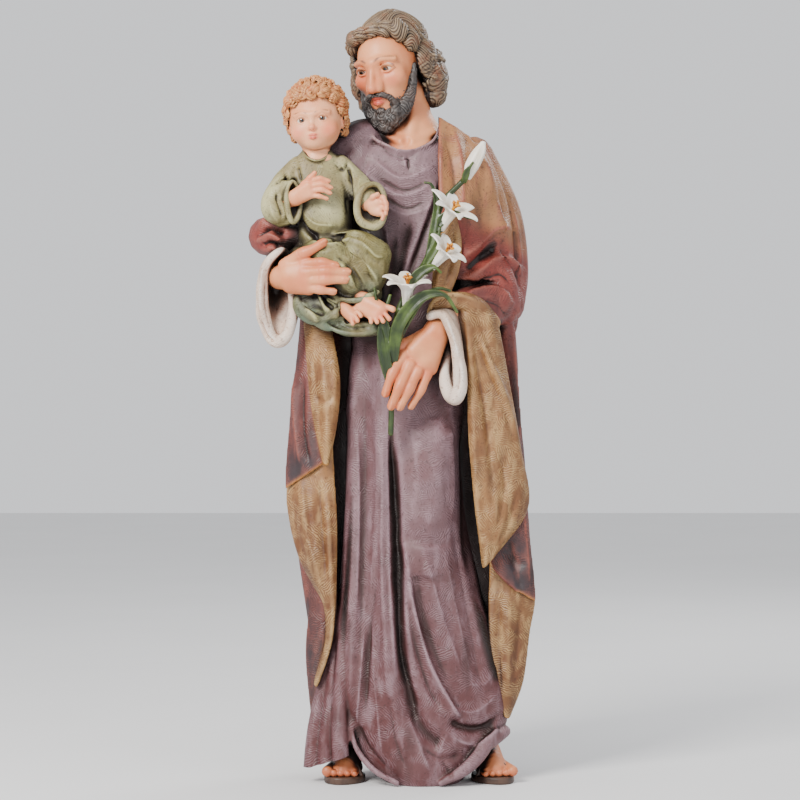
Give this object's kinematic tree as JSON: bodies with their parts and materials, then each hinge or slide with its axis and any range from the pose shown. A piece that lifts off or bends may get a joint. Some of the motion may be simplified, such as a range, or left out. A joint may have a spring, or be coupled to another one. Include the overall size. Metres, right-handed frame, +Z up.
{
  "type": "painted devotional statue",
  "caption": "Standing bearded man in a long tunic and mantle, holding a child on one forearm and a spray of lilies in the other hand, in painted cast resin.",
  "frame": {"origin": "on the flat underside, near the middle of the tunic's foot", "axes": "+Z up along the figure, -Y to the front, +X to the viewer's right, where the lilies are"},
  "size_m": [0.3483, 0.2465, 0.9356],
  "materials": {
    "robe_paint": "painted resin, matt, with a brown antique wash",
    "petal_paint": "painted resin, matt, off-white blossoms and green leaves"
  },
  "bodies": {
    "root": {"figure": "robe_paint", "lily_spray": "petal_paint"}
  },
  "joints": []
}
